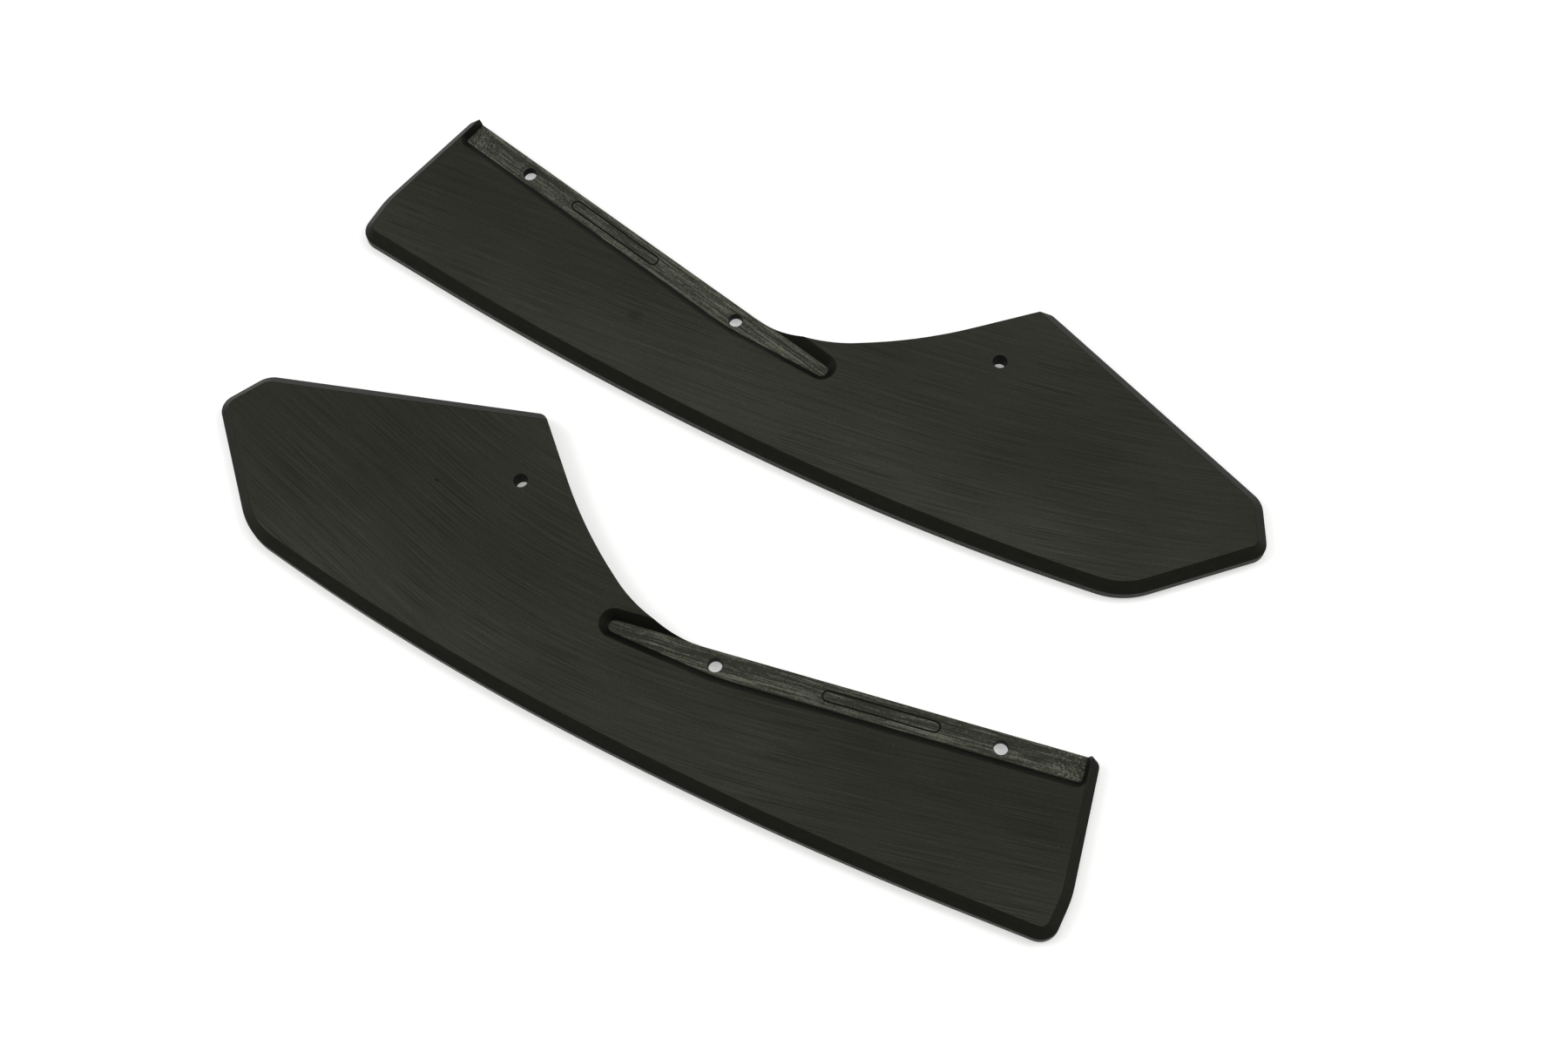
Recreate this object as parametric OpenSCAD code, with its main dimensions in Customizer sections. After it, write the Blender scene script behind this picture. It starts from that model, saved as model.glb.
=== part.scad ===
// A handed pair of mud flaps for the rear bumper's lower edge, lying flat side by side.
// Each flap is one plate machined from sheet: a bevelled outer rim, a sloped-wall
// mounting pocket that is open along the straight mounting edge, and three through holes.
//
// A flap is drawn in its own frame: +X runs along the mounting edge from the narrow end
// to the wing, +Y points out of the mounting edge, and z = 0 is the flat underside. The
// pair is then turned, laid out and centred on the origin.

/* [Plate] */
// Thickness of the sheet
plate_t = 10; // [8:0.5:14]
// Length of the mounting edge, up to where the line of the wing's inner curve leaves it
edge_l = 225; // [187:0.5:280]
// Length of the wing, from there to its far corner
wing_l = 249.6; // [208:0.2:300]
// Width of the narrow end, from the mounting edge down to the heel
narrow_w = 91; // [75:0.5:112]
// How far the wing's peak stands above the mounting edge
wing_rise = 95.2; // [79:0.2:115]

/* [Narrow end] */
// How far the narrow end leans out where it bends
end_lean = 3.6; // [0:0.1:6]
// Height of that bend above the heel
bend_up = 24; // [14:0.5:36]

/* [Outer edge] */
// First turning point of the long outer edge: distance from the heel
bow_1_along = 149.5; // [120:0.5:170]
// How far that point stands out from the line between heel and toe
bow_1_out = 14.9; // [8:0.1:18]
// Second turning point: distance from the toe
bow_2_along = 101.5; // [80:0.5:120]
// How far that point stands out from the line between heel and toe
bow_2_out = 13.6; // [8:0.1:18]
// Toe corner: back from the wing's far corner
toe_back = 41.8; // [30:0.2:60]
// Toe corner: below the mounting edge
toe_drop = 8.7; // [0:0.1:20]

/* [Wing] */
// Height of the wing's far corner above the mounting edge
tip_h = 53.4; // [44:0.2:64]
// Cut-off end of the wing: run along the plate
tip_run = 18.1; // [12:0.1:24]
// Cut-off end of the wing: rise
tip_rise = 21.6; // [14:0.1:26]
// How far the wing's peak lies past the end of the mounting edge
peak_out = 87.5; // [73:0.1:105]
// Turning point of the inner curve: back from the peak
inner_back = 40.5; // [34:0.1:48]
// Turning point of the inner curve: down from the peak
inner_drop = 54.8; // [46:0.1:62]

/* [Corner radii] */
// Horn, at the narrow end of the mounting edge
horn_r = 4.5; // [1:0.5:8]
// Bend in the narrow end
bend_r = 52; // [20:1:90]
// Heel
heel_r = 9.5; // [6:0.5:14]
// Long outer edge, first half
bow_1_r = 1920; // [1000:10:1920]
// Long outer edge, second half
bow_2_r = 1380; // [800:5:1380]
// Toe
toe_r = 40; // [10:1:60]
// Wing's far corner
tip_r = 9; // [6:0.5:14]
// Wing's upper corner
shoulder_r = 13; // [6:0.5:20]
// Wing's peak
peak_r = 5; // [1:0.5:8]
// Inner curve beside the wing
inner_r = 245; // [120:5:290]
// Inner curve beside the mounting edge
root_r = 80; // [40:1:90]

/* [Rim bevel] */
// Width of the bevel, seen from above
bevel_w = 5; // [1:0.1:6]
// Depth of the bevel, down from the top face
bevel_h = 5; // [1:0.1:7]

/* [Pocket] */
// Depth of the pocket floor, down from the top face
pocket_d = 5; // [2:0.1:7]
// Width of the pocket floor, in from the mounting edge
pocket_w = 13.3; // [11:0.1:18]
// How far the sloped walls spread from floor to top
wall_run = 4.3; // [1:0.1:6]
// How far the end wall beside the horn spreads
end_run = 2; // [0.5:0.1:3]
// From the narrow end to the pocket floor
end_wall = 6; // [5:0.1:10]
// Radius of the floor's corner beside the horn
floor_r = 1.5; // [0.5:0.1:4]
// How far the slot's floor runs past the mounting edge
slot_l = 19.3; // [10:0.1:24]
// Width of the slot's floor at its round tip
slot_w = 6.2; // [5:0.1:8]
// How far the slot's floor steps over the mounting edge's line
slot_step = 0.8; // [0.6:0.1:2]
// Length of the tapered stretch before the tip
taper_l = 58.2; // [40:0.1:80]
// Radius where the taper starts
taper_r = 180; // [50:5:250]

/* [Holes] */
// Diameter of the screw holes
hole_d = 7; // [4:0.1:8.5]
// Pocket holes: in from the mounting edge
hole_in = 7.4; // [6.5:0.1:9]
// First pocket hole: from the narrow end
hole_1_along = 46.4; // [20:0.1:80]
// Second pocket hole: back from the slot's tip
hole_2_back = 55.9; // [40:0.1:90]
// Wing hole: back from the peak
wing_hole_back = 2.1; // [-10:0.1:10]
// Wing hole: down from the peak
wing_hole_drop = 40; // [25:0.1:50]

/* [Layout] */
// Turn of the right flap
right_turn = -43.8; // [-180:0.1:180]
// Turn of the left flap
left_turn = 157.9; // [-180:0.1:180]
// From the right flap's first bow to the left flap's peak: along the right flap
gap_along = -3; // [-40:0.1:40]
// The same, square to the right flap
gap_across = 30.3; // [20:0.1:80]

/* [Hidden] */
$fn = 64;
curve_gap = 0.04;   // most that a facet may leave a curve
least_r = 0.4;      // radius kept where a bevel sharpens a corner
proud = 1;          // how far a cutter passes the face that it opens
charcoal = [0.17, 0.18, 0.165];

heel = [0, -narrow_w];
tip = [edge_l + wing_l, tip_h];
toe = [tip.x - toe_back, -toe_drop];
peak = [edge_l + peak_out, wing_rise];
outer_line = unit(toe - heel);
bow_1 = heel + bow_1_along * outer_line - bow_1_out * left_of(outer_line);
bow_2 = toe - bow_2_along * outer_line - bow_2_out * left_of(outer_line);

// The rim, anticlockwise: each corner's point and radius, and the width of the bevel
// along the edge that leaves it.
RIM = [
    [[0, 0], horn_r, bevel_w],
    [heel + [-end_lean, bend_up], bend_r, bevel_w],
    [heel, heel_r, bevel_w],
    [bow_1, bow_1_r, bevel_w],
    [bow_2, bow_2_r, bevel_w],
    [toe, toe_r, bevel_w],
    [tip, tip_r, bevel_w],
    [tip + [-tip_run, tip_rise], shoulder_r, bevel_w],
    [peak, peak_r, 0],
    [peak - [inner_back, inner_drop], inner_r, 0],
    [[edge_l, 0], root_r, 0]
];

// The pocket's floor, anticlockwise from its corner beside the horn: each corner's point
// and radius, and how far the wall along the edge that leaves it spreads.
slot_end = edge_l + slot_l;
FLOOR = [
    [[end_wall, -pocket_w], floor_r, wall_run],
    [[slot_end - taper_l, -pocket_w], taper_r, wall_run],
    [[slot_end, slot_step - slot_w], slot_w / 2, wall_run],
    [[slot_end, slot_step], slot_w / 2, wall_run],
    [[end_wall, slot_step], floor_r, end_run]
];

HOLES = [
    [hole_1_along, -hole_in],
    [slot_end - hole_2_back, -hole_in],
    peak - [wing_hole_back, wing_hole_drop]
];

// ---- plane geometry ----

function unit(v) = v / norm(v);
function left_of(v) = [-v.y, v.x];
function turned(v, a) = [v.x * cos(a) - v.y * sin(a), v.x * sin(a) + v.y * cos(a)];
function next(rows, i) = rows[(i + 1) % len(rows)];
function prior(rows, i) = rows[(i + len(rows) - 1) % len(rows)];

// Heading of the edge that leaves corner i, and the turn made at corner i.
function heading(rows, i) = unit(next(rows, i)[0] - rows[i][0]);
function turn_at(rows, i) =
    let (a = unit(rows[i][0] - prior(rows, i)[0]), b = heading(rows, i))
    atan2(cross(a, b), a * b);

// Length that corner i's arc takes from each of its edges.
function taken(rows, i) = rows[i][1] * abs(tan(turn_at(rows, i) / 2));
// Share of its radius that corner i keeps, so that two arcs never meet on one edge.
function kept(rows, i) =
    let (n = len(rows), j = (i + 1) % n, h = (i + n - 1) % n)
    min(1,
        0.99 * norm(rows[j][0] - rows[i][0]) / (taken(rows, i) + taken(rows, j)),
        0.99 * norm(rows[i][0] - rows[h][0]) / (taken(rows, i) + taken(rows, h)));
function limited(rows) = [for (i = [0 : len(rows) - 1])
    [rows[i][0], rows[i][1] * kept(rows, i), rows[i][2]]];

// Rows with every edge moved sideways by its own width times k: inwards if k is positive.
// The radius follows the edges, and a radius that would vanish stays at least_r.
function moved(rows, k) = [for (i = [0 : len(rows) - 1])
    let (a = unit(rows[i][0] - prior(rows, i)[0]), b = heading(rows, i),
         wa = k * prior(rows, i)[2], wb = k * rows[i][2],
         side = sign(turn_at(rows, i)))
    [rows[i][0] + (wa * b - wb * a) / cross(a, b),
     max(least_r, rows[i][1] - side * (abs(wa) > abs(wb) ? wa : wb)),
     rows[i][2]]];

// Facets in corner i's arc, enough to stay within curve_gap of it.
function facets(rows, i) =
    max(2, ceil(abs(turn_at(rows, i)) / (2 * acos(1 - min(1, curve_gap / rows[i][1])))));

// Points along the rounded outline, with counts[i] facets in corner i's arc.
function rounded(rows, counts) = [for (i = [0 : len(rows) - 1])
    let (a = unit(rows[i][0] - prior(rows, i)[0]), t = turn_at(rows, i), r = rows[i][1],
         out = -sign(t) * left_of(a), centre = rows[i][0] - a * taken(rows, i) - r * out)
    for (s = [0 : counts[i]]) centre + r * turned(out, t * s / counts[i])];

// A solid through loops of equally many points, each turning anticlockwise about the way
// from one loop to the next. The first and last loops are convex.
module loft(loops) {
    n = len(loops[0]);
    last = (len(loops) - 1) * n;
    polyhedron(
        points = [for (loop = loops) each loop],
        faces = concat(
            [[for (i = [0 : n - 1]) i]],
            [[for (i = [n - 1 : -1 : 0]) last + i]],
            [for (k = [0 : n : last - n], i = [0 : n - 1])
                let (a = k + i, b = k + (i + 1) % n)
                each [[a, a + n, b + n], [a, b + n, b]]]),
        convexity = 6);
}

function raised(points, z) = [for (p = points) [p.x, p.y, z]];

// ---- one flap ----

rim = limited(RIM);
rim_facets = [for (i = [0 : len(rim) - 1]) facets(rim, i)];
rim_line = rounded(rim, rim_facets);

// The bevel runs from the horn round to the peak, where the inner curve starts. Its
// cutter is a three-sided strip along the rim, run on past both ends.
PEAK = 8;
bevelled = [for (i = [0 : PEAK]) rim_facets[i] + 1] * [for (i = [0 : PEAK]) 1];

module bevel_cutter() {
    over = proud / bevel_h;
    outer = rounded(moved(rim, -over), rim_facets);
    inner = rounded(limited(moved(rim, 1 + over)), rim_facets);
    low = plate_t - bevel_h - proud;
    high = plate_t + proud;
    strip = [for (i = [0 : bevelled - 1]) [
        [outer[i].x, outer[i].y, low],
        [inner[i].x, inner[i].y, high],
        [outer[i].x, outer[i].y, high]]];
    start = [0, proud, 0];
    finish = -proud * left_of(heading(rim, PEAK));
    loft(concat(
        [[for (p = strip[0]) p + start]],
        strip,
        [[for (p = strip[bevelled - 1]) p + [finish.x, finish.y, 0]]]));
}

// The pocket's sloped walls run on above the top face, so that the cutter stands proud.
module pocket_cutter() {
    base = limited(FLOOR);
    spread = limited(moved(FLOOR, -(pocket_d + proud) / pocket_d));
    counts = [for (i = [0 : len(base) - 1]) facets(spread, i)];
    loft([
        raised(rounded(base, counts), plate_t - pocket_d),
        raised(rounded(spread, counts), plate_t + proud)
    ]);
}

module flap() {
    difference() {
        linear_extrude(plate_t) polygon(rim_line);
        bevel_cutter();
        pocket_cutter();
        for (p = HOLES)
            translate([p.x, p.y, -proud]) cylinder(d = hole_d, h = plate_t + 2 * proud);
    }
}

// ---- the pair ----

// A flap-frame point, turned as the right or the left flap is. The left one is mirrored.
function as_right(p) = turned(p, right_turn);
function as_left(p) = turned([p.x, -p.y], left_turn);

// The left flap's peak is placed from the right flap's first bow, so the gap stays.
left_from_right = as_right(bow_1 + [gap_along, -gap_across]) - as_left(peak);
pair = concat([for (p = rim_line) as_right(p)],
              [for (p = rim_line) left_from_right + as_left(p)]);
middle = [for (k = [0, 1]) (min([for (p = pair) p[k]]) + max([for (p = pair) p[k]])) / 2];

module right_flap() {
    color(charcoal)
        translate(-middle) rotate(right_turn) flap();
}

module left_flap() {
    color(charcoal)
        translate(left_from_right - middle) rotate(left_turn) mirror([0, 1, 0]) flap();
}

right_flap();
left_flap();
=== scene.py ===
"""The looks of a handed pair of machined mud flaps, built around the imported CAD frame."""

import math

import bmesh
import bpy
from mathutils import Matrix, Vector


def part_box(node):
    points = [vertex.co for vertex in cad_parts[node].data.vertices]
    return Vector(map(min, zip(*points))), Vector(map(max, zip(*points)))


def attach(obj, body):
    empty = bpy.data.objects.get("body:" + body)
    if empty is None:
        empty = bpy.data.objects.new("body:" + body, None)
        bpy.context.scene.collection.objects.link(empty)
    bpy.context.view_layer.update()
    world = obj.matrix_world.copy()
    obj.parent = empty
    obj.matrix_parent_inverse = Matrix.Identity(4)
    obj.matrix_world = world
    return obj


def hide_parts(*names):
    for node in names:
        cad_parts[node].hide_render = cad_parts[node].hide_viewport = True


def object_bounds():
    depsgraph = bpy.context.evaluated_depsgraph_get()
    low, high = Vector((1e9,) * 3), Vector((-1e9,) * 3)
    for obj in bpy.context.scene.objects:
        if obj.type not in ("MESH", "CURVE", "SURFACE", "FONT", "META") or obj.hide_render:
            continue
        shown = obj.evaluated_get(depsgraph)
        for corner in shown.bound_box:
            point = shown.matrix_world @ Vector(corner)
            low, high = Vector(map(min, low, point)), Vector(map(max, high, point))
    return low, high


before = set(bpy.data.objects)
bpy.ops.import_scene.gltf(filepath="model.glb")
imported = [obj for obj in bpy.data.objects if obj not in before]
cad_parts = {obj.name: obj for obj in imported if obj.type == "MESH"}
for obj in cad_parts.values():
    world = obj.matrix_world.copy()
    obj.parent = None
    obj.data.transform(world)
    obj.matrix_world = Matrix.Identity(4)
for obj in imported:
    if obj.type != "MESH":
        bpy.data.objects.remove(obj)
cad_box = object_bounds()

MM = 0.001

# ---- the flap's sizes, in millimetres, as part.scad has them ----

PLATE_T = 10.0
EDGE_L, WING_L = 225.0, 249.6
NARROW_W, WING_RISE = 91.0, 95.2
END_LEAN, BEND_UP = 3.6, 24.0
BOW_1_ALONG, BOW_1_OUT = 149.5, 14.9
BOW_2_ALONG, BOW_2_OUT = 101.5, 13.6
TOE_BACK, TOE_DROP = 41.8, 8.7
TIP_H, TIP_RUN, TIP_RISE = 53.4, 18.1, 21.6
PEAK_OUT, INNER_BACK, INNER_DROP = 87.5, 40.5, 54.8
BEVEL = 5.0
POCKET_D, POCKET_W = 5.0, 13.3
WALL_RUN, END_RUN, END_WALL = 4.3, 2.0, 6.0
FLOOR_R, SLOT_L, SLOT_W, SLOT_STEP = 1.5, 19.3, 6.2, 0.8
TAPER_L, TAPER_R = 58.2, 180.0
HOLE_R, HOLE_IN = 3.5, 7.4
HOLE_1_ALONG, HOLE_2_BACK = 46.4, 55.9
WING_HOLE_BACK, WING_HOLE_DROP = 2.1, 40.0
RIGHT_TURN, LEFT_TURN = -43.8, 157.9

# ---- finishing sizes that only the looks have, in millimetres ----

CURVE_GAP = 0.006   # most that a facet may leave a curve
LEAST_R = 0.4       # radius kept where an inset sharpens a corner
PROUD = 1.0         # how far a cutter passes the face that it opens
ARC_STEPS = 4       # facets in a broken edge or a fillet
EDGE_BREAK = 0.2    # radius of the broken edges round the plate
CREASE_R = 0.45     # radius between the bevel and its neighbours
CREASE_STEPS = 3    # facets in it
FILLET_R = 0.5      # left by the milling cutter along the foot of the pocket's walls
MOUTH_R = 0.2       # radius of the broken edge round the pocket's mouth
MOUTH_FLARE = 0.5   # how far the pocket's cutter spreads above the mouth
WIDEST = 1.3        # its widest, in runs of the wall, which sets how finely its arcs are cut
FLOOR_BREAK = 0.2   # broken edge along the pocket floor's open side
HOLE_BREAK = 0.2    # broken edge at each end of a hole
HOLE_STEPS = 72     # facets round a hole
LABEL_X, LABEL_Y = (76.0, 135.0), -6.6    # blank engraved outline on the pocket floor
LABEL_H, LABEL_LINE, LABEL_DEPTH = 6.4, 1.0, 0.5
LABEL_LEAN = 0.18   # how far each side of its groove leans
LABEL_PROUD = 0.3   # how far its cutter passes the pocket floor
SHARP = 27          # an edge that turns by more than this stays sharp, in degrees
WELD = 2e-7         # points closer than this are joined, in metres


def point(x, y):
    return Vector((x, y))


def left_of(v):
    return Vector((-v.y, v.x))


def turned(v, angle):
    return Vector((v.x * math.cos(angle) - v.y * math.sin(angle),
                   v.x * math.sin(angle) + v.y * math.cos(angle)))


heel = point(0, -NARROW_W)
tip = point(EDGE_L + WING_L, TIP_H)
toe = point(tip.x - TOE_BACK, -TOE_DROP)
peak = point(EDGE_L + PEAK_OUT, WING_RISE)
outer_line = (toe - heel).normalized()
bow_1 = heel + BOW_1_ALONG * outer_line - BOW_1_OUT * left_of(outer_line)
bow_2 = toe - BOW_2_ALONG * outer_line - BOW_2_OUT * left_of(outer_line)
slot_end = EDGE_L + SLOT_L

# The rim, anticlockwise: corner, radius, and whether the edge that leaves it is bevelled.
RIM = [
    (point(0, 0), 4.5, True),
    (heel + point(-END_LEAN, BEND_UP), 52, True),
    (heel, 9.5, True),
    (bow_1, 1920, True),
    (bow_2, 1380, True),
    (toe, 40, True),
    (tip, 9, True),
    (tip + point(-TIP_RUN, TIP_RISE), 13, True),
    (peak, 5, False),
    (peak - point(INNER_BACK, INNER_DROP), 245, False),
    (point(EDGE_L, 0), 80, False),
]
ROOT = len(RIM) - 1
# The pocket's floor, anticlockwise: corner, radius, and the run of the wall on the edge that
# leaves it.
FLOOR = [
    (point(END_WALL, -POCKET_W), FLOOR_R, WALL_RUN),
    (point(slot_end - TAPER_L, -POCKET_W), TAPER_R, WALL_RUN),
    (point(slot_end, SLOT_STEP - SLOT_W), SLOT_W / 2, WALL_RUN),
    (point(slot_end, SLOT_STEP), SLOT_W / 2, WALL_RUN),
    (point(END_WALL, SLOT_STEP), FLOOR_R, END_RUN),
]
HOLES = [
    (point(HOLE_1_ALONG, -HOLE_IN), PLATE_T - POCKET_D),
    (point(slot_end - HOLE_2_BACK, -HOLE_IN), PLATE_T - POCKET_D),
    (peak - point(WING_HOLE_BACK, WING_HOLE_DROP), PLATE_T),
]


# ---- rounded outlines ----

def ways(rows, i):
    """The headings of the edges that reach and leave corner i, and the turn between them."""
    n = len(rows)
    a = (rows[i][0] - rows[i - 1][0]).normalized()
    b = (rows[(i + 1) % n][0] - rows[i][0]).normalized()
    return a, b, math.atan2(a.x * b.y - a.y * b.x, a.dot(b))


def taken(rows, i):
    return rows[i][1] * abs(math.tan(ways(rows, i)[2] / 2))


def limited(rows):
    """Rows whose arcs never meet on one edge."""
    n, out = len(rows), []
    for i in range(n):
        keep = 1.0
        for j in ((i + 1) % n, (i - 1) % n):
            edge = (rows[j][0] - rows[i][0]).length
            keep = min(keep, 0.99 * edge / (taken(rows, i) + taken(rows, j)))
        out.append((rows[i][0], rows[i][1] * keep, rows[i][2]))
    return out


def moved(rows, widths):
    """Rows with edge i moved inwards by widths[i]."""
    out = []
    for i, (p, r, w) in enumerate(rows):
        a, b, turn = ways(rows, i)
        wa, wb = widths[i - 1], widths[i]
        shift = (wa * b - wb * a) / (a.x * b.y - a.y * b.x)
        side = 1 if turn > 0 else -1
        out.append((p + shift, max(LEAST_R, r - side * (wa if abs(wa) > abs(wb) else wb)), w))
    return out


def facets(rows, i):
    r = rows[i][1]
    step = 2 * math.acos(1 - min(1, CURVE_GAP / r))
    return max(3, math.ceil(abs(ways(rows, i)[2]) / step))


def rounded(rows, counts):
    out = []
    for i, (p, r, _) in enumerate(rows):
        a, _, turn = ways(rows, i)
        away = left_of(a) * (-1 if turn > 0 else 1)
        centre = p - a * taken(rows, i) - r * away
        out += [centre + r * turned(away, turn * s / counts[i]) for s in range(counts[i] + 1)]
    return out


def raised(points, z):
    return [(p.x, p.y, z) for p in points]


# ---- solids ----

TOP, RIM_BEVEL, SIDE, UNDER, POCKET_FLOOR, POCKET_WALL, BORE, GROOVE = range(8)


def loft(name, loops, bands, caps):
    """A closed solid through loops of equally many points.

    bands(k, i) gives the material of face i in step k, and caps those of the two ends.
    """
    mesh, n = bpy.data.meshes.new(name), len(loops[0])
    faces, kinds = [list(range(n))[::-1]], [caps[0]]
    for k in range(len(loops) - 1):
        for i in range(n):
            j = (i + 1) % n
            faces.append([k * n + i, k * n + j, (k + 1) * n + j, (k + 1) * n + i])
            kinds.append(bands(k, i))
    faces.append([(len(loops) - 1) * n + i for i in range(n)])
    kinds.append(caps[1])
    mesh.from_pydata([p for loop in loops for p in loop], [], faces)
    for face, kind in zip(mesh.polygons, kinds):
        face.material_index = kind
    return solid(name, mesh)


def solid(name, mesh):
    """An object whose faces all look out."""
    bm = bmesh.new()
    bm.from_mesh(mesh)
    bmesh.ops.recalc_face_normals(bm, faces=bm.faces)
    bm.to_mesh(mesh)
    bm.free()
    return placed(name, mesh)


def placed(name, data):
    """A new object in the scene."""
    made = bpy.data.objects.new(name, data)
    bpy.context.scene.collection.objects.link(made)
    return made


def arc(r, angle, steps):
    """An arc from where it leaves a line, as (distance along, rise) pairs."""
    return [(r * math.sin(a), r * (1 - math.cos(a)))
            for a in (angle * s / steps for s in range(steps + 1))]


def plate():
    """The plate with its bevel and its broken edges."""
    rim = limited(RIM)
    counts = [facets(rim, i) for i in range(len(rim))]
    low = PLATE_T - BEVEL
    start = low - CREASE_R * math.tan(math.pi / 8)
    foot = arc(EDGE_BREAK, math.pi / 2, ARC_STEPS)
    crease = [(start + along, rise)
              for along, rise in arc(CREASE_R, math.pi / 4, CREASE_STEPS)]
    shoulder = [(PLATE_T - inset, BEVEL - (z - low)) for z, inset in reversed(crease)]
    # heights, each with the inset of the bevelled edges and of the plain ones
    levels = [(rise, EDGE_BREAK - along, EDGE_BREAK - along) for along, rise in foot]
    levels += [(z, inset, 0.0) for z, inset in crease]
    for z, inset in shoulder:
        into = max(0.0, z - (PLATE_T - EDGE_BREAK))
        plain = EDGE_BREAK - math.sqrt(max(0.0, EDGE_BREAK ** 2 - into ** 2))
        levels.append((z, inset, plain))
    first_bevel = len(foot) + len(crease) // 2
    loops = []
    for z, wide, plain in levels:
        rows = moved(rim, [wide if row[2] else plain for row in rim])
        loops.append(raised(rounded(limited(rows), counts), z))
    owner = [i for i, c in enumerate(counts) for _ in range(c + 1)]

    def band(k, i):
        return RIM_BEVEL if k >= first_bevel and rim[owner[i]][2] else SIDE
    return loft("plate", loops, band, (UNDER, TOP))


def pocket_cutter():
    """The pocket, with a fillet at the foot of its walls and a broken edge at its mouth."""
    slope = math.atan2(POCKET_D, WALL_RUN)
    floor_z = PLATE_T - POCKET_D
    foot = FILLET_R * math.tan(slope / 2)
    mouth = WALL_RUN + MOUTH_R * math.tan(slope / 2)
    path = [(along - foot, floor_z + rise) for along, rise in arc(FILLET_R, slope, ARC_STEPS)]
    path += [(mouth - along, PLATE_T - rise)
             for along, rise in reversed(arc(MOUTH_R, slope, ARC_STEPS))]
    path.append((path[-1][0] + MOUTH_FLARE, PLATE_T + PROUD))
    rows = limited(FLOOR)

    def spread(share):
        return limited(moved(rows, [-share * row[2] for row in rows]))
    counts = [facets(spread(WIDEST), i) for i in range(len(rows))]
    loops = [raised(rounded(spread(out / WALL_RUN), counts), z) for out, z in path]
    return loft("pocket", loops, lambda k, i: POCKET_WALL, (POCKET_FLOOR, TOP))


def ring(centre, r, z):
    angles = [2 * math.pi * i / HOLE_STEPS for i in range(HOLE_STEPS)]
    return [(centre.x + r * math.cos(a), centre.y + r * math.sin(a), z) for a in angles]


def hole_cutter(centre, top):
    """A drilled hole with its edges just broken."""
    r, b = HOLE_R, HOLE_BREAK
    loops = [ring(centre, r + b + PROUD, -PROUD), ring(centre, r, b),
             ring(centre, r, top - b), ring(centre, r + b + PROUD, top + PROUD)]
    return loft("hole", loops, lambda k, i: BORE, (BORE, BORE))


def stadium(x0, x1, y, half, n=24):
    """A long outline with round ends of n facets each."""
    ends = [(x1 - half, -90), (x0 + half, 90)]
    return [point(cx + half * math.cos(math.radians(a0 + 180 * s / n)),
                  y + half * math.sin(math.radians(a0 + 180 * s / n)))
            for cx, a0 in ends for s in range(n + 1)]


def label_cutter():
    """A blank engraved outline: a groove round a long stadium."""
    top = PLATE_T - POCKET_D + LABEL_PROUD
    low = PLATE_T - POCKET_D - LABEL_DEPTH
    x0, x1 = LABEL_X
    sections = [(0.0, top), (LABEL_LEAN, low), (LABEL_LINE - LABEL_LEAN, low), (LABEL_LINE, top)]
    loops = [raised(stadium(x0 + d, x1 - d, LABEL_Y, LABEL_H / 2 - d), z) for d, z in sections]
    n, m = len(loops[0]), len(loops)
    faces = []
    for k in range(m):
        for i in range(n):
            here, after, i2 = k * n, (k + 1) % m * n, (i + 1) % n
            faces.append([here + i, here + i2, after + i2, after + i])
    mesh = bpy.data.meshes.new("label")
    mesh.from_pydata([p for loop in loops for p in loop], [], faces)
    for face in mesh.polygons:
        face.material_index = GROOVE
    return solid("label", mesh)


def floor_edge_cutter():
    """Breaks the pocket floor's open edge, along the mounting edge and round into the slot."""
    rim = limited(RIM)
    counts = [facets(rim, i) for i in range(len(rim))]
    start = sum(c + 1 for c in counts[:ROOT])
    # from just inside the horn's wall to just short of the slot's far wall
    run = [p for p in rounded(rim, counts)[start:] if p.y < SLOT_STEP - 0.1 and p.x > END_WALL + 1]
    run = [point(END_WALL - 0.5, 0.0)] + run[::-1]
    z, b = PLATE_T - POCKET_D, FLOOR_BREAK
    loops = []
    for i, p in enumerate(run):
        along = (run[min(i + 1, len(run) - 1)] - run[max(i - 1, 0)]).normalized()
        out = left_of(along)
        inner, far = p - out * b * 2, p + out * b * 2
        loops.append([(inner.x, inner.y, z + b), (far.x, far.y, z - 3 * b), (far.x, far.y, z + b)])
    return loft("floor_edge", loops, lambda k, i: SIDE, (SIDE, SIDE))


def nick_cutter(x, y, z, long, wide, deep, turn):
    """A small dent from handling: a stretched, many-sided bead."""
    mesh = bpy.data.meshes.new("nick")
    bm = bmesh.new()
    bmesh.ops.create_icosphere(bm, subdivisions=3, radius=1.0)
    bmesh.ops.scale(bm, vec=(long, wide, deep), verts=bm.verts)
    bmesh.ops.rotate(bm, matrix=Matrix.Rotation(math.radians(turn), 3, "Z"), verts=bm.verts)
    bmesh.ops.translate(bm, vec=(x, y, z), verts=bm.verts)
    for face in bm.faces:
        face.material_index = GROOVE
    bm.to_mesh(mesh)
    bm.free()
    return solid("nick", mesh)


def cut(body, cutters):
    """The body less its cutters, as one new mesh."""
    for cutter in cutters:
        step = body.modifiers.new("cut", "BOOLEAN")
        step.operation, step.solver, step.object = "DIFFERENCE", "EXACT", cutter
        step.material_mode = "INDEX"
    bpy.context.view_layer.update()
    seen = body.evaluated_get(bpy.context.evaluated_depsgraph_get())
    mesh = bpy.data.meshes.new_from_object(seen)
    for used in [body] + cutters:
        old = used.data
        bpy.data.objects.remove(used)
        bpy.data.meshes.remove(old)
    return mesh


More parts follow.
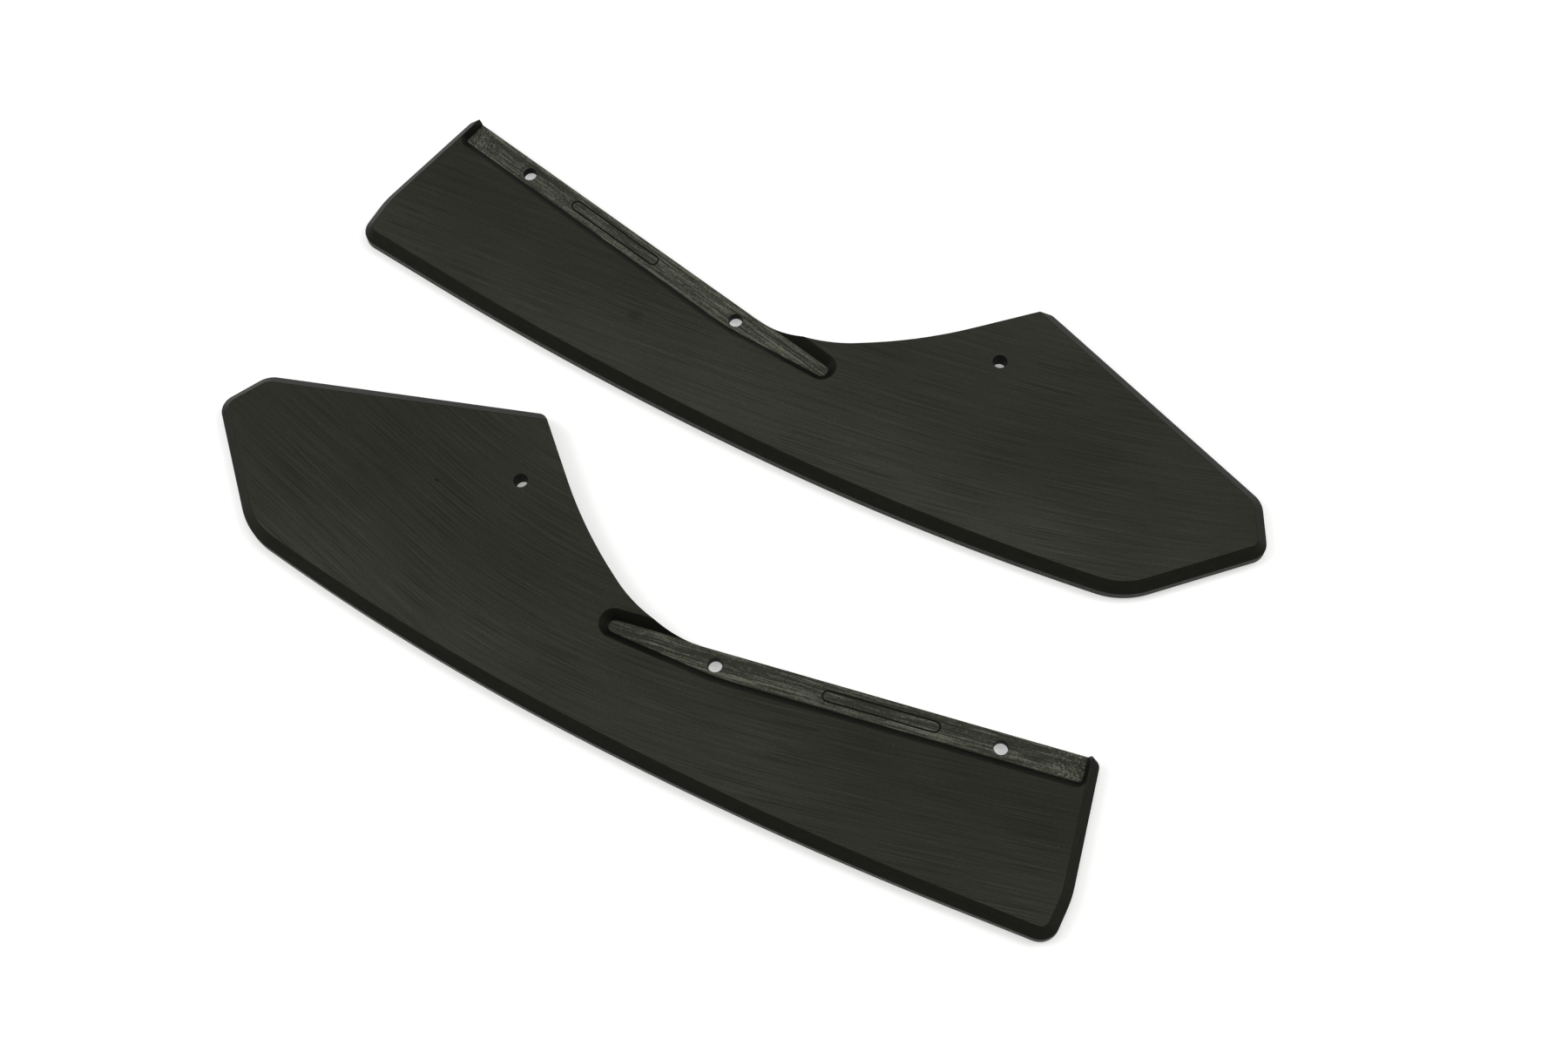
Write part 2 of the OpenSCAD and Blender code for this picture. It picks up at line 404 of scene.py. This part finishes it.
def welded(mesh):
    """Joins doubled points, and shades smooth but for the sharp edges."""
    bm = bmesh.new()
    bm.from_mesh(mesh)
    bmesh.ops.remove_doubles(bm, verts=bm.verts, dist=WELD)
    bmesh.ops.dissolve_degenerate(bm, edges=bm.edges, dist=WELD)
    for face in bm.faces:
        face.smooth = True
    for edge in bm.edges:
        edge.smooth = (len(edge.link_faces) == 2
                       and edge.calc_face_angle(0) < math.radians(SHARP))
    bm.to_mesh(mesh)
    bm.free()


def flap(side, nicks):
    """One flap as a finished piece, placed on its CAD node's box."""
    node = side + "_flap"
    cutters = [pocket_cutter(), floor_edge_cutter(), label_cutter()]
    cutters += [hole_cutter(p, top) for p, top in HOLES]
    cutters += [nick_cutter(*n) for n in nicks]
    mesh = cut(plate(), cutters)
    mesh.name = side + "_plate"
    # each point's place on the flap, which the materials read
    where = mesh.attributes.new("plate_mm", "FLOAT_VECTOR", "POINT")
    for i, v in enumerate(mesh.vertices):
        where.data[i].vector = v.co
    mirror = side == "left"
    turn = Matrix.Rotation(math.radians(LEFT_TURN if mirror else RIGHT_TURN), 4, "Z")
    hand = Matrix.Diagonal((1, -1 if mirror else 1, 1, 1))
    mesh.transform(Matrix.Scale(MM, 4) @ turn @ hand)
    if mirror:
        mesh.flip_normals()
    low, high = (Vector(v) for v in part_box(node))
    xs, ys = [v.co.x for v in mesh.vertices], [v.co.y for v in mesh.vertices]
    mesh.transform(Matrix.Translation((
        (low.x + high.x) / 2 - (min(xs) + max(xs)) / 2,
        (low.y + high.y) / 2 - (min(ys) + max(ys)) / 2, low.z)))
    welded(mesh)

    piece = placed(side + "_plate", mesh)
    weigh = piece.modifiers.new("weighted", "WEIGHTED_NORMAL")
    weigh.keep_sharp = True
    for made in (machined_face(side), bevel_face(side), side_face(side), sheet_back(side),
                 pocket_face(side), wall_face(side), bore_face(side), groove_face(side)):
        mesh.materials.append(made)
    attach(piece, node)
    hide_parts(node)
    return piece


# ---- materials ----

CAST = (1.0, 1.035, 0.8)      # the plastic's faint olive cast
GLOSS_TINT = (1.0, 1.0, 0.8)
IOR = 1.49

# For each kind of face: its noise seeds on the right and the left flap, the tones along its
# ramp, and its specular level.
FACES = {
    "machined_face": ((2.0, 31.0), ((0.10, 0.0015), (0.38, 0.0065), (0.50, 0.0120),
                                    (0.62, 0.0180), (0.90, 0.0400)), 0.20),
    "bevel_face": ((4.0, 37.0), ((0.25, 0.0060), (0.50, 0.0105), (0.75, 0.0165)), 0.05),
    "side": ((6.0, 41.0), ((0.25, 0.0040), (0.50, 0.0100), (0.78, 0.0220)), 0.15),
    "sheet_back": ((8.0, 43.0), ((0.20, 0.0030), (0.50, 0.0070), (0.85, 0.0200)), 0.34),
    "pocket_floor": ((10.0, 47.0), ((0.12, 0.0012), (0.34, 0.0070), (0.50, 0.0180),
                                    (0.68, 0.0420), (0.92, 0.0850)), 0.35),
    "pocket_wall": ((12.0, 53.0), ((0.30, 0.0002), (0.50, 0.0010), (0.70, 0.0040),
                                   (0.90, 0.0080)), 0.20),
    # the bore's tones are painted very dark, as painted shade inside the holes
    "bore": ((14.0, 59.0), ((0.30, 0.0008), (0.50, 0.0020), (0.75, 0.0060)), 0.08),
    "groove": ((16.0, 61.0), ((0.30, 0.0004), (0.50, 0.0012), (0.75, 0.0060)), 0.15),
}

# The surfacing marks on each flap: their slope at the narrow end, how much steeper they are
# REACH along the plate, growing as the cube of the distance, and where they stop steepening.
SWEEP = {"right": (0.262, 0.115, 480.0), "left": (-0.07, 0.40, 345.0)}
REACH = 310.0
FINE_WEIGHT = {"right": 0.34, "left": 0.42}
SPOT, SPOT_R = (147.8, -39.1), 5.5    # one darker spot, on the right flap
OUTER_SLOPE, OUTER_DROP = 0.19, 4.0   # a line along the long outer edge, from below the heel, where the painted highlight is brightest
PEAK_HIGHLIGHT_R = 95.0                    # the painted highlight reaches this far round the wing's peak

# The milling of each pocket floor: where two passes meet, how light the open edge is, how
# dark the ring beside the first hole is, and the whole floor's shift.
MILLING = {"right": (-8.7, 0.16, -0.20, 0.0), "left": (-3.4, 0.12, -0.08, -0.03)}
PLUNGE = (15.0, 27.0)                 # where the cutter's plunge at the narrow end fades out


class Tree:
    """A short way to write one material's nodes."""

    def __init__(self, side, kind):
        seeds, self.tones, self.specular = FACES[kind]
        self.seed = seeds[side == "left"]
        self.material = bpy.data.materials.new(side + "_" + kind)
        self.material.use_nodes = True
        self.tree = self.material.node_tree
        self.shader = self.tree.nodes["Principled BSDF"]
        self.place = self.node("ShaderNodeAttribute", attribute_name="plate_mm").outputs["Vector"]
        split = self.node("ShaderNodeSeparateXYZ")
        self.link(self.place, split.inputs[0])
        self.x, self.y, self.z = split.outputs

    def node(self, kind, **settings):
        made = self.tree.nodes.new(kind)
        for key, value in settings.items():
            setattr(made, key, value)
        return made

    def link(self, out, into):
        self.tree.links.new(out, into)

    def feed(self, values, sockets):
        for value, socket in zip(values, sockets):
            if isinstance(value, (int, float)):
                socket.default_value = value
            else:
                self.link(value, socket)

    def math(self, how, *values):
        made = self.node("ShaderNodeMath", operation=how)
        self.feed(values, made.inputs)
        return made.outputs[0]

    def times(self, a, b):
        return self.math("MULTIPLY", a, b)

    def add(self, base, *parts):
        """base, with each part's value times its weight added."""
        for value, weight in parts:
            base = self.math("ADD", base, self.times(value, weight))
        return base

    def sum(self, first, *rest):
        return self.add(self.times(*first), *rest)

    def blend(self, *parts):
        """Noises added by weight and kept centred on 0.5."""
        return self.add(0.5 - sum(weight for _, weight in parts) / 2, *parts)

    def mix(self, share, a, b):
        made = self.node("ShaderNodeMix", data_type="FLOAT")
        self.feed((share, a, b), (made.inputs[0], made.inputs[2], made.inputs[3]))
        return made.outputs[0]

    def span(self, value, a, b, c, d, how="LINEAR"):
        made = self.node("ShaderNodeMapRange", clamp=True, interpolation_type=how)
        self.feed((value, a, b, c, d), made.inputs)
        return made.outputs[0]

    def rise(self, value, a, b, least=0.0):
        return self.span(value, a, b, least, 1.0, "SMOOTHSTEP")

    def fall(self, value, a, b, least=0.0):
        return self.span(value, a, b, 1.0, least, "SMOOTHSTEP")

    def vector(self, x, y, z):
        made = self.node("ShaderNodeCombineXYZ")
        self.feed((x, y, z), made.inputs)
        return made.outputs[0]

    def stretch(self, a, b, c):
        """The place on the flap, scaled by a, b and c."""
        return self.vector(self.times(self.x, a), self.times(self.y, b), self.times(self.z, c))

    def distance(self, centre):
        away = self.node("ShaderNodeVectorMath", operation="DISTANCE")
        self.link(self.vector(self.x, self.y, 0.0), away.inputs[0])
        away.inputs[1].default_value = (*centre, 0)
        return away.outputs["Value"]

    def near(self, centre, radius):
        """1 at a point on the flap, falling to 0 at radius."""
        return self.fall(self.distance(centre), 0.0, radius)

    def noise(self, scale=1.0, detail=2.0, rough=0.5, shift=0.0, warp=0.0, at=None):
        made = self.node("ShaderNodeTexNoise", noise_dimensions="4D")
        self.link(self.place if at is None else at, made.inputs["Vector"])
        made.inputs["Scale"].default_value = scale
        made.inputs["Detail"].default_value = detail
        made.inputs["Roughness"].default_value = rough
        made.inputs["Distortion"].default_value = warp
        made.inputs["W"].default_value = self.seed + shift
        return made.outputs[0]

    def streaks(self, y, long, thin, shift, detail, rough):
        """Noise drawn out along the flap, where y is the distance across the marks."""
        at = self.vector(self.times(self.x, long), self.times(y, thin), shift)
        return self.noise(detail=detail, rough=rough, shift=shift, at=at)

    def bump(self, height, depth_mm):
        made = self.node("ShaderNodeBump")
        made.inputs["Strength"].default_value = 1.0
        made.inputs["Distance"].default_value = depth_mm * MM
        self.link(height, made.inputs["Height"])
        self.link(made.outputs[0], self.shader.inputs["Normal"])

    def finish(self, tone, rough):
        made = self.node("ShaderNodeValToRGB")
        self.link(tone, made.inputs[0])
        cells = made.color_ramp.elements
        while len(cells) < len(self.tones):
            cells.new(0.5)
        for cell, (at, level) in zip(cells, self.tones):
            cell.position = at
            cell.color = (*(level * part for part in CAST), 1)
        self.link(made.outputs[0], self.shader.inputs["Base Color"])
        self.link(rough, self.shader.inputs["Roughness"])
        self.shader.inputs["Specular IOR Level"].default_value = self.specular
        self.shader.inputs["IOR"].default_value = IOR
        self.shader.inputs["Specular Tint"].default_value = (*GLOSS_TINT, 1)
        return self.material


def machined_face(side):
    """The top face: long shallow sweeps, with scores, pits and dust.

    A painted highlight, standing in for the softboxes' reflection, makes it lighter beside the
    long outer edge and round the wing's peak.
    """
    t = Tree(side, "machined_face")
    lean, curl, stop = SWEEP[side]
    bend = t.math("POWER", t.math("MAXIMUM", t.math("MINIMUM", t.x, stop), 0.0), 4.0)
    past = t.math("MAXIMUM", t.math("SUBTRACT", t.x, stop), 0.0)
    lift = t.sum((t.x, lean), (bend, curl / (4 * REACH ** 3)), (past, curl * (stop / REACH) ** 3))
    across = t.math("SUBTRACT", t.y, lift)
    fine = t.streaks(across, 0.016, 1.25, shift=1.0, detail=1.0, rough=0.6)
    hair = t.streaks(across, 0.022, 2.3, shift=5.0, detail=1.0, rough=0.6)
    cloud = t.noise(0.011, shift=9.0)
    grain = t.noise(1.9, rough=0.7, shift=3.0)
    band = t.rise(t.noise(0.013, detail=1.0, shift=14.0), 0.40, 0.60, least=0.35)
    score = t.streaks(across, 0.025, 1.1, shift=17.0, detail=0.0, rough=0.6)
    score = t.times(t.fall(score, 0.33, 0.41), band)
    pit = t.rise(t.noise(0.95, detail=0.0, shift=21.0), 0.175, 0.145)
    dust = t.rise(t.noise(1.1, detail=0.0, shift=44.0), 0.845, 0.875)
    outer = t.math("ADD", t.times(t.x, -OUTER_SLOPE),
                   t.math("ADD", t.y, NARROW_W + OUTER_DROP))
    # painted highlight: the face is painted lighter beside the long outer edge and round the
    # wing's peak
    painted_highlight = t.add(t.fall(outer, 4.0, 60.0), (t.near((peak.x, peak.y), PEAK_HIGHLIGHT_R), 0.7))
    banded = t.math("MULTIPLY_ADD", t.math("SUBTRACT", fine, 0.5), band, 0.5)
    tone = t.blend((banded, FINE_WEIGHT[side]), (hair, 0.6), (cloud, 0.34), (grain, 0.45))
    # the tone takes the scores, pits and dust, and the painted highlight
    tone = t.add(tone, (score, -0.16), (pit, -0.35), (dust, 0.30), (painted_highlight, 0.15))
    tone = t.math("ADD", tone, -0.08)
    if side == "right":
        tone = t.add(tone, (t.near(SPOT, SPOT_R), -0.20))
    t.bump(t.sum((fine, 0.9), (hair, 0.45), (grain, 0.25), (pit, -0.8)), 0.035)
    return t.finish(tone, t.span(t.blend((fine, 0.6), (grain, 0.4)), 0.35, 0.65, 0.50, 0.38))


def bevel_face(side):
    """The bevel, cut in one pass of a chamfer mill: smoother, with fine feed marks."""
    t = Tree(side, "bevel_face")
    feed = t.noise(0.22, detail=3.0, rough=0.65, at=t.stretch(1.0, 1.0, 2.4))
    rings = t.noise(shift=6.0, at=t.stretch(0.03, 0.03, 3.2))
    grain = t.noise(3.0, rough=0.7, shift=3.0)
    t.bump(t.sum((rings, 0.8), (grain, 0.3)), 0.012)
    return t.finish(t.sum((feed, 0.35), (rings, 0.35), (grain, 0.30)),
                    t.span(rings, 0.3, 0.7, 0.46, 0.38))


def side_face(side):
    """The square edge of the sheet, with the upright chatter of a side cut."""
    t = Tree(side, "side")
    chatter = t.noise(rough=0.6, at=t.stretch(1.1, 1.1, 0.12))
    grain = t.noise(2.4, shift=3.0)
    t.bump(t.add(chatter, (grain, 0.3)), 0.02)
    return t.finish(t.sum((chatter, 0.6), (grain, 0.4)), t.span(chatter, 0.3, 0.7, 0.56, 0.46))


def sheet_back(side):
    """The underside: the sheet's own pebbled surface, with a few rubs."""
    t = Tree(side, "sheet_back")
    pebble = t.noise(0.9, detail=3.0, rough=0.6)
    cloud = t.noise(0.015, shift=9.0)
    rub = t.rise(t.noise(detail=3.0, shift=13.0, warp=0.3, at=t.stretch(0.02, 1.3, 0.0)),
                 0.66, 0.74)
    t.bump(t.add(pebble, (rub, -0.4)), 0.03)
    return t.finish(t.sum((pebble, 0.4), (cloud, 0.5), (rub, 0.2)),
                    t.span(pebble, 0.3, 0.7, 0.48, 0.38))


def pocket_face(side):
    """The pocket's floor: rough, overlapping passes of an end mill along the edge."""
    t = Tree(side, "pocket_floor")
    seam_y, edge_weight, halo_weight, whole = MILLING[side]
    wander = t.times(t.math("SUBTRACT", t.noise(0.022, detail=1.0, shift=2.0), 0.5), 1.1)
    y = t.math("ADD", t.y, wander)
    lines = t.streaks(y, 0.030, 1.05, shift=1.0, detail=3.0, rough=0.62)
    hair = t.streaks(y, 0.080, 2.6, shift=4.0, detail=2.0, rough=0.62)
    passes = t.streaks(y, 0.008, 0.34, shift=7.0, detail=1.0, rough=0.62)
    crumbs = t.noise(0.95, detail=4.0, rough=0.75, shift=8.0)
    chewed = t.noise(0.42, shift=12.0, warp=2.2)
    streak = t.mix(t.fall(t.x, *PLUNGE), lines, chewed)
    # passes: a light one by the wall, a dull one, and a light one along the open edge
    fade = t.fall(t.x, 60.0, 130.0, least=0.25)
    by_wall = t.times(t.rise(y, -13.2, -12.0, least=0.3), t.fall(y, -9.6, -8.8))
    open_edge = t.times(t.rise(y, -2.2, -1.7), fade)
    if side == "right":
        dull = (t.times(t.times(t.rise(y, -5.4, -4.4), t.fall(y, -2.3, -1.8)), fade), -0.17)
    else:
        dull = (t.rise(y, -8.5, -6.5), -0.12)
    # one long score where two passes meet
    seam = t.fall(t.math("ABSOLUTE", t.math("ADD", y, -seam_y)), 0.12, 0.42)
    seam = t.times(t.times(seam, t.rise(hair, 0.38, 0.52, least=0.3)), t.rise(t.x, 17.0, 24.0))
    # a dark half ring where the first hole stops the passes
    far = t.distance((HOLE_1_ALONG, -HOLE_IN))
    halo = t.times(t.rise(far, 4.2, 4.8), t.fall(far, 5.4, 6.2))
    halo = t.times(halo, t.fall(t.x, HOLE_1_ALONG - 1, HOLE_1_ALONG + 2))
    tone = t.blend((streak, 2.7), (hair, 1.8), (passes, 0.6), (crumbs, 1.7))
    tone = t.add(tone, (by_wall, 0.10), dull, (open_edge, edge_weight), (seam, -0.24))
    tone = t.add(t.math("ADD", tone, whole), (halo, halo_weight))
    t.bump(t.sum((streak, 0.9), (hair, 0.4), (crumbs, 0.5), (passes, 0.4)), 0.12)
    return t.finish(tone, t.span(crumbs, 0.3, 0.7, 0.60, 0.48))


def wall_face(side):
    """The pocket's sloped walls: cleanly milled, with contour lines, and painted darker towards
    the foot as shade.
    """
    t = Tree(side, "pocket_wall")
    contour = t.noise(at=t.stretch(0.05, 0.05, 2.2))
    grain = t.noise(2.2, detail=3.0, rough=0.7, shift=3.0)
    # painted shade: the walls' tone falls towards the pocket floor, darkest at the foot
    height = t.span(t.z, PLATE_T - POCKET_D, PLATE_T, 0.0, 0.3)
    t.bump(t.add(contour, (grain, 0.3)), 0.012)
    return t.finish(t.math("ADD", t.sum((contour, 0.4), (grain, 0.3)), height),
                    t.span(grain, 0.3, 0.7, 0.55, 0.45))


def bore_face(side):
    """A hole's wall, with the rings that a drill leaves, its tones painted very dark as the shade
    inside the hole.
    """
    t = Tree(side, "bore")
    rings = t.noise(at=t.stretch(0.3, 0.3, 4.0))
    t.bump(rings, 0.03)
    return t.finish(rings, t.span(rings, 0.3, 0.7, 0.6, 0.5))


def groove_face(side):
    """The engraved outline and the nicks: dark and a little rough."""
    t = Tree(side, "groove")
    grain = t.noise(2.5, detail=3.0, rough=0.7)
    t.bump(grain, 0.02)
    return t.finish(grain, t.span(grain, 0.3, 0.7, 0.6, 0.5))


# ---- the pieces ----

# Handling marks: place, half lengths along, across and deep, and turn, in millimetres
# and degrees.
flap("right", nicks=[(118.3, -75.3, 7.6, 1.5, 0.4, 0.5, 62)])
flap("left", nicks=[(350.6, 43.4, 10.05, 1.6, 0.4, 0.35, 14),
                    (463.8, 58.4, 9.9, 0.8, 0.35, 0.4, 130)])

# ---- floor, light and camera, in metres and watts ----

FLOOR_HALF, FLOOR_Z = 12.0, -0.0003
FLOOR_COLOUR, FLOOR_GLOW, FLOOR_GLOW_STRENGTH = (0.72, 0.72, 0.715), (1, 1, 0.99), 0.33
FLOOR_ROUGH, FLOOR_SPECULAR = 0.75, 0.2

SOFTBOXES = (    # name, place, side and power; each faces the origin
    ("left", (-2.4, 0.5, 1.9), 2.0, 48.0),
    ("right", (2.3, 0.5, 2.0), 2.0, 47.0),
    ("top", (0.15, 1.45, 2.75), 0.9, 8.5),
)
ROOM_TONES = ((0.05, 0.28), (0.95, 0.62))    # from the horizon up
ROOM_UP, ROOM_SPREAD = (0.0, 0.10, 1.0), 0.95

LENS, SENSOR, CLIP_END = 49.86, 36.0, 60.0   # the first two in millimetres
LOOK, RIGHT = (0.0, 0.38694, -0.9221), (0.99613, -0.08109, -0.03403)
STAND = (0.0228, -0.4306, 0.9927)            # from the middle of the CAD box's underside


def pale_floor():
    s = FLOOR_HALF
    mesh = bpy.data.meshes.new("studio_floor")
    mesh.from_pydata([(-s, -s, 0), (s, -s, 0), (s, s, 0), (-s, s, 0)], [], [(0, 1, 2, 3)])
    made = placed("studio_floor", mesh)
    made.location.z = FLOOR_Z
    material = bpy.data.materials.new("studio_floor")
    material.use_nodes = True
    shader = material.node_tree.nodes["Principled BSDF"]
    shader.inputs["Base Color"].default_value = (*FLOOR_COLOUR, 1)
    shader.inputs["Emission Color"].default_value = (*FLOOR_GLOW, 1)
    shader.inputs["Emission Strength"].default_value = FLOOR_GLOW_STRENGTH
    shader.inputs["Roughness"].default_value = FLOOR_ROUGH
    shader.inputs["Specular IOR Level"].default_value = FLOOR_SPECULAR
    mesh.materials.append(material)


def softbox(name, place, side, power):
    data = bpy.data.lights.new(name, "AREA")
    data.shape, data.size, data.size_y = "RECTANGLE", side, side
    data.energy = power
    made = placed(name, data)
    made.location = place
    made.rotation_euler = (-Vector(place)).to_track_quat("-Z", "Y").to_euler()


def room():
    """A room that looks white and lights the flaps most from above."""
    world = bpy.data.worlds.new("studio")
    bpy.context.scene.world = world
    world.use_nodes = True
    nodes, link = world.node_tree.nodes, world.node_tree.links.new
    nodes.clear()
    place = nodes.new("ShaderNodeTexCoord")
    up = nodes.new("ShaderNodeVectorMath")
    up.operation = "DOT_PRODUCT"
    up.inputs[1].default_value = ROOM_UP
    spread = nodes.new("ShaderNodeMath")
    spread.operation = "MULTIPLY"
    spread.inputs[1].default_value = ROOM_SPREAD
    ramp = nodes.new("ShaderNodeValToRGB")
    for cell, (at, level) in zip(ramp.color_ramp.elements, ROOM_TONES):
        cell.position, cell.color = at, (level, level, level, 1)
    glow = nodes.new("ShaderNodeBackground")
    seen = nodes.new("ShaderNodeBackground")
    seen.inputs["Color"].default_value = (1, 1, 1, 1)
    rays = nodes.new("ShaderNodeLightPath")
    mix = nodes.new("ShaderNodeMixShader")
    out = nodes.new("ShaderNodeOutputWorld")
    link(place.outputs["Generated"], up.inputs[0])
    link(up.outputs["Value"], spread.inputs[0])
    link(spread.outputs[0], ramp.inputs[0])
    link(ramp.outputs[0], glow.inputs["Color"])
    link(rays.outputs["Is Camera Ray"], mix.inputs[0])
    link(glow.outputs[0], mix.inputs[1])
    link(seen.outputs[0], mix.inputs[2])
    link(mix.outputs[0], out.inputs[0])


def camera():
    """The viewing angle: steep, from the front, with a small roll."""
    data = bpy.data.cameras.new("camera")
    data.lens, data.sensor_width, data.clip_end = LENS, SENSOR, CLIP_END
    made = placed("camera", data)
    look, right = Vector(LOOK).normalized(), Vector(RIGHT).normalized()
    up = right.cross(look)
    low, high = (Vector(v) for v in cad_box)
    stand = Vector(((low.x + high.x) / 2, (low.y + high.y) / 2, low.z)) + Vector(STAND)
    made.matrix_world = Matrix((
        (right.x, up.x, -look.x, stand.x), (right.y, up.y, -look.y, stand.y),
        (right.z, up.z, -look.z, stand.z), (0, 0, 0, 1)))
    bpy.context.scene.camera = made


pale_floor()
room()
for box in SOFTBOXES:
    softbox(*box)
camera()
bpy.context.scene.view_settings.view_transform = "Standard"
